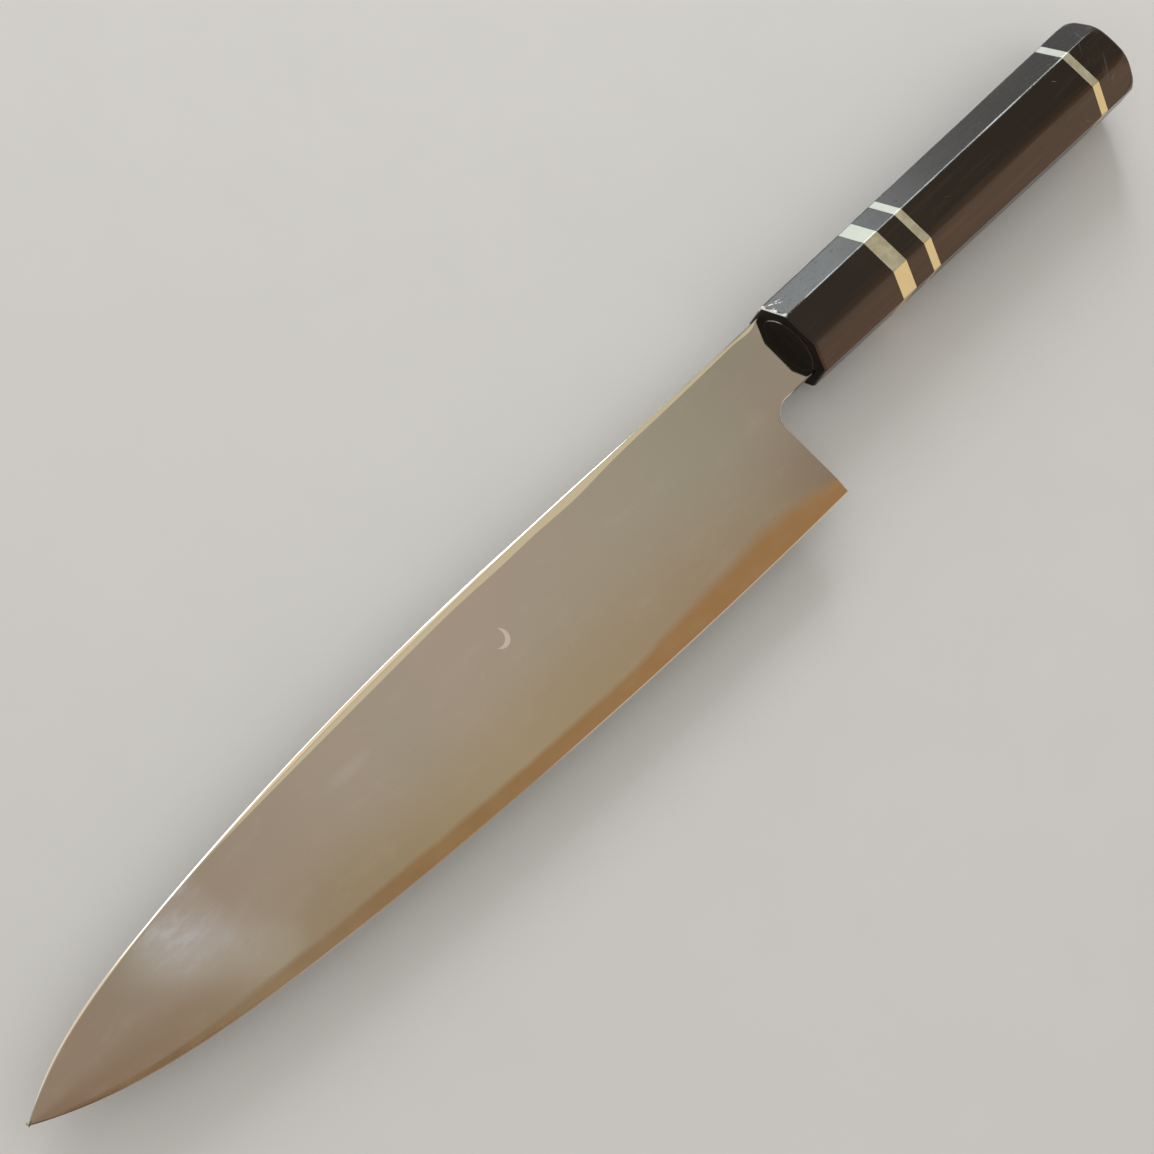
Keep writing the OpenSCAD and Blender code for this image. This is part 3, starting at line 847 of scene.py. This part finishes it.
# The path: a line along the axis in even steps, with two more points close to each end
even_steps, at_each_end = 8, 2
last_point = even_steps + 2 * at_each_end
path = wires.node("GeometryNodeMeshLine", {"mode": "OFFSET"}, {"Count": last_point + 1, "Offset": (0, 0, 0)})
place = wires.node("GeometryNodeInputIndex")
length = given["To"] - given["From"]
share = ((place - at_each_end) / even_steps).most(0).least(1)
from_end = place.least(last_point - place)
inset = (1 - from_end.below(0.5)) * given["End easing"] + (1 - from_end.below(1.5)) * 0.3 * mm
where = given["From"] + share * length + inset * (1 - 2 * share)
spot = wires.vector(where + axis.x, axis.y, axis.z)
path = wires.node("GeometryNodeSetPosition", {}, {"Geometry": path, "Position": spot})
path = wires.node("GeometryNodeMeshToCurve", {}, {0: path})
profile = wires.node("GeometryNodeMeshToCurve", {}, {0: wires})
swept = {"Curve": path, "Profile Curve": profile, "Fill Caps": True}
bar = wires.node("GeometryNodeCurveToMesh", {}, swept)

# The taper, both ways, and a hair's easing at the ends
typical_reach = 12 * mm
spot = wires.node("GeometryNodeInputPosition")
station = spot.along("X") - axis.x
to_end = (station - given["From"]).least(given["To"] - station)
drawn_in = 1 - (given["End easing"] - to_end).most(0) / typical_reach
grown_y = (1 + given["Depth growth"] * station / given["Handle length"]) * drawn_in
grown_z = (1 + given["Width growth"] * station / given["Handle length"]) * drawn_in
tapered_y = axis.y + (spot.along("Y") - axis.y) * grown_y
tapered_z = axis.z + (spot.along("Z") - axis.z) * grown_z
tapered = wires.vector(spot.along("X"), tapered_y, tapered_z)
bar = wires.node("GeometryNodeSetPosition", {}, {"Geometry": bar, "Position": tapered})


def bore(size, start_x, end_x):
    """A round cutter along the axis, between two stations."""
    sizes = {"Vertices": 64, "Radius": size / 2, "Depth": 1.0}
    cutter = wires.node("GeometryNodeMeshCylinder", {}, sizes, output="Mesh")
    long = wires.vector(1.0, 1.0, end_x - start_x)
    middle = wires.vector((start_x + end_x) / 2 + axis.x, axis.y, axis.z)
    turned = {"Geometry": cutter, "Rotation": (0, pi / 2, 0), "Scale": long, "Translation": middle}
    return wires.node("GeometryNodeTransform", {}, turned)


front_cutter = bore(given["Front bore"], given["From"] - 2 * mm, given["Front bore to"])
rear_cutter = bore(given["Rear bore"], given["Rear bore from"], given["To"] + 2 * mm)
bar = wires.node("GeometryNodeMeshBoolean", {"operation": "DIFFERENCE", "solver": "EXACT"}, {
    "Mesh 1": bar, "Mesh 2": [front_cutter, rear_cutter]})
bar = wires.node("GeometryNodeRealizeInstances", {}, {0: bar})
in_ebony = wires.node("GeometryNodeSetMaterial", {}, {"Geometry": bar, "Material": ebony})
in_silver = wires.node("GeometryNodeSetMaterial", {}, {"Geometry": bar, "Material": silver})
compare = {"data_type": "FLOAT", "operation": "GREATER_THAN"}
is_silver = wires.node("FunctionNodeCompare", compare, {0: given["Is silver"], 1: 0.5})
either = {"Switch": is_silver, "False": in_ebony, "True": in_silver}
chosen = wires.node("GeometryNodeSwitch", {"input_type": "GEOMETRY"}, either)
wires.node("NodeGroupOutput", {}, {0: chosen})

# Where each length starts and ends, in millimetres from the handle's front, and its stuff
core_end, dowel_bore, dowel_start = 105.08 * mm, 8.16 * mm, 118.72 * mm
section = front_section(3)
around = [(i, (i + 1) % len(section)) for i in range(len(section))]
lengths = [
    ("wide_ring", "silver_ring_wide", 34, 39.8, 1), ("spacer", "ebony_spacer", 39.8, 47.8, 0),
    ("narrow_ring", "silver_ring_narrow", 47.8, 50.8, 1), ("grip", "ebony_grip", 50.8, 127.8, 0),
    ("rear_ring", "silver_ring_rear", 127.8, 130.8, 1),
]
for node, name, first, last, in_metal in lengths:
    base_mesh = bpy.data.meshes.new("section")
    base_mesh.from_pydata([(y, z, 0) for y, z in section], around, [])
    base = bpy.data.objects.new("section", base_mesh)
    bpy.context.collection.objects.link(base)
    through = {
        "From": first * mm, "To": last * mm, "Is silver": in_metal,
        "Front bore to": (last + 2) * mm, "Rear bore from": (first - 2) * mm,
    }
    if node == "grip":
        bores = {
            "Front bore": core_bore, "Front bore to": core_end,
            "Rear bore": dowel_bore, "Rear bore from": dowel_start,
        }
    elif node == "rear_ring":
        bores = {"Front bore": dowel_bore, "Rear bore": dowel_bore / 2}
    else:
        bores = {"Front bore": core_bore, "Rear bore": core_bore / 2}
    piece = made_by(tree, base, name, {**stretch, **through, **bores})
    piece.data.shade_smooth()
    piece.data.set_sharp_from_angle(angle=radians(25))
    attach(piece, "root")
    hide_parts(node)

# ---- Butt cap ----
# The last piece of ebony, glued on a short dowel: its eight faces run on from the
# grip, and its end is a shallow dome with a well rounded rim.
cap_x, cap_dome, bore_end = 130.8 * mm, 34 * mm, 139.88 * mm
cap_ease, ease_arc = 1.3 * mm, radians(70)
ease_inward, ease_along = 0.66 * cap_ease, 0.94 * cap_ease


def dome_at(radius):
    """Station of the dome's surface at a distance from the axis."""
    return handle_len - cap_dome + np.sqrt(cap_dome**2 - radius**2)


rows = [[(axis.x + bore_end, axis.y, axis.z)]]
rows += [round_ring(bore_end, dowel_bore / 2), round_ring(cap_x, dowel_bore / 2)]
rows += [flat_ring(cap_x, end_ease), flat_ring(cap_x + end_ease)]

# Towards the end the ridges are rubbed round, and the rim turns over into the dome
beyond = np.hypot(outline[:, 0] / front_depth, outline[:, 1] / front_width) * 2
worn = reach * np.maximum(0, 1 - 1.05 / beyond) * 1.12
rim = flat_ring(handle_len - 3 * mm, worn)
rim_reach = np.hypot(rim[:, 1] - axis.y, rim[:, 2] - axis.z)
rim_x = dome_at(rim_reach - ease_inward) - ease_along
sides_x = cap_x + 0.4 * mm
for share in (0.05, 0.3, 0.5, 0.6, 0.7, 0.8, 0.88, 0.95, 1):
    station = sides_x + share * (rim_x - sides_x)
    rows.append(flat_ring(station, worn * max(0, 2.5 * share - 1.5) ** 2))
for turn in np.linspace(0.1, 1, 8) * ease_arc:
    rounding = flat_ring(rim_x, worn + cap_ease * (1 - cos(turn)))
    rounding[:, 0] += cap_ease * sin(turn)
    rows.append(rounding)
for share in (0.94, 0.85, 0.72, 0.58, 0.42, 0.27, 0.13):
    y, z = (rounding[:, 1] - axis.y) * share, (rounding[:, 2] - axis.z) * share
    rows.append(np.stack([axis.x + dome_at(np.hypot(y, z)), axis.y + y, axis.z + z], 1))
rows.append([(axis.x + handle_len, axis.y, axis.z)])
finish_end_piece(skinned("ebony_butt_cap", rows), "butt_cap")

# ---- The table ----
# A plain pale sweep under the knife, which isn't part of it and lies a hair below it, so
# that the two faces don't fight.
paper = bpy.data.materials.new("pale_table")
start, here = start_of(paper)
tone = mixed(noise(here, 40, 3, 0.5), srgb(226, 224, 220), srgb(230, 228, 224))
close(paper, start, Base_Color=tone, Roughness=0.9)
table_half = 4
table_mesh = bpy.data.meshes.new("table")
corners = [(x * table_half, y * table_half, 0) for x, y in ((-1, -1), (1, -1), (1, 1), (-1, 1))]
table_mesh.from_pydata(corners, [], [(0, 1, 2, 3)])
table_mesh.materials.append(paper)
table = bpy.data.objects.new("table", table_mesh)
table.location.z = -0.2 * mm
bpy.context.collection.objects.link(table)

# ---- Light ----
# A pale room, dimmer high up beyond the butt. Its side towards the edge is warmer, and so is
# its ceiling in reflections. A soft window and a wide wall stand on the spine's side, with a
# narrow lamp beside them and a small panel overhead.
world = bpy.data.worlds.new("pale_room")
bpy.context.scene.world = world
world.use_nodes = True
world.node_tree.nodes.clear()
start = Socket(world.node_tree)
to_camera = start.node("ShaderNodeLightPath", output="Is Camera Ray")
mirrored = start.node("ShaderNodeLightPath", output="Is Glossy Ray")
through_glass = start.node("ShaderNodeLightPath", output="Is Transmission Ray")
seen = to_camera.most(mirrored).most(through_glass)
direction = start.node("ShaderNodeTexCoord", output="Generated")
toward = {letter: direction.along(letter) for letter in "XYZ"}
far_end = toward["X"].fade(0.54, 0.68) * toward["Z"].fade(0.5, 0.7) * (1 - to_camera)
room = mixed(far_end * 0.5, (0.965, 0.955, 0.935, 1), (0.2, 0.15, 0.1, 1))

# The warm side: dim towards the butt, and brighter in one part that only reflections see
warm_side = toward["Y"].fade(-0.35, -0.7) * toward["Z"].fade(0.6, 0.35) * (1 - to_camera)
warm_wall = mixed(toward["X"].fade(0.66, 0.8), (1.0, 0.86, 0.7, 1), (0.3, 0.25, 0.2, 1))
lit_part = toward["X"].fade(0.36, 0.46) * toward["X"].fade(0.84, 0.74)
lit_part = lit_part * toward["Z"].fade(0.03, 0.12) * toward["Z"].fade(0.5, 0.4) * mirrored
warm_wall = mixed(lit_part, warm_wall, (1.35, 1.2, 1.0, 1))
room = mixed(warm_side, room, warm_wall)
ceiling = toward["Z"].fade(0.5, 0.68) * mirrored
tinted = {"data_type": "RGBA", "blend_type": "MULTIPLY"}
room = room.node("ShaderNodeMix", tinted, {0: ceiling, 6: room, 7: (1, 0.82, 0.62, 1)}, output=2)
glow = start.node("ShaderNodeBackground", {}, {"Color": room, "Strength": 0.62 + 0.34 * seen})
start.node("ShaderNodeOutputWorld", {}, {"Surface": glow})


def panel(name, bearing_deg, height_deg, away, width, tall, radiance, colour, roll_deg=0):
    """A soft panel that faces the knife, seen from it at a bearing and a height."""
    round_by, up_by = radians(bearing_deg), radians(height_deg)
    spot = Vector((cos(up_by) * cos(round_by), cos(up_by) * sin(round_by), sin(up_by))) * away
    light = bpy.data.lights.new(name, "AREA")
    light.shape, light.size, light.size_y = "RECTANGLE", width, tall
    light.energy = radiance * pi * width * tall
    light.color = colour
    made = bpy.data.objects.new(name, light)
    made.location = spot
    facing = (-spot).to_track_quat("-Z", "Y") @ Quaternion((0, 0, 1), radians(roll_deg))
    made.rotation_euler = facing.to_euler()
    bpy.context.collection.objects.link(made)


panel("window", 61.5, 8, 1.6, 0.62, 0.3, 5.1, (0.9, 0.98, 1.0))
panel("wall", 62, 28, 1.7, 1.3, 0.8, 1.6, (1.0, 1.0, 1.0))
panel("ridge_lamp", 43.5, 24, 1.5, 0.24, 0.4, 16.0, (0.93, 0.97, 1.0))
panel("overhead", 11, 78.8, 1.6, 0.05, 0.14, 0.31, (0.68, 0.9, 1.0), roll_deg=-55)

# ---- Camera ----
# Above the tip's half of the knife and looking down towards the handle, turned so that the
# knife lies from the lower left to the upper right.
camera_data = bpy.data.cameras.new("camera")
camera_data.lens, camera_data.sensor_width = 87.41, 36
camera_data.shift_x, camera_data.shift_y = 0.0467, 0.0059
camera_data.clip_start, camera_data.clip_end = 0.01, 50
camera = bpy.data.objects.new("camera", camera_data)
right = Vector((0.65502208, -0.70907973, 0.2610594))
ahead = Vector((0.44907222, 0.08746127, -0.88920451))
turn = Matrix((right, right.cross(ahead), -ahead)).transposed().to_4x4()
camera.matrix_world = Matrix.Translation(axis + Vector((-0.420635, -0.059576, 0.62301))) @ turn
bpy.context.collection.objects.link(camera)
bpy.context.scene.camera = camera
bpy.context.scene.view_settings.view_transform = "Standard"
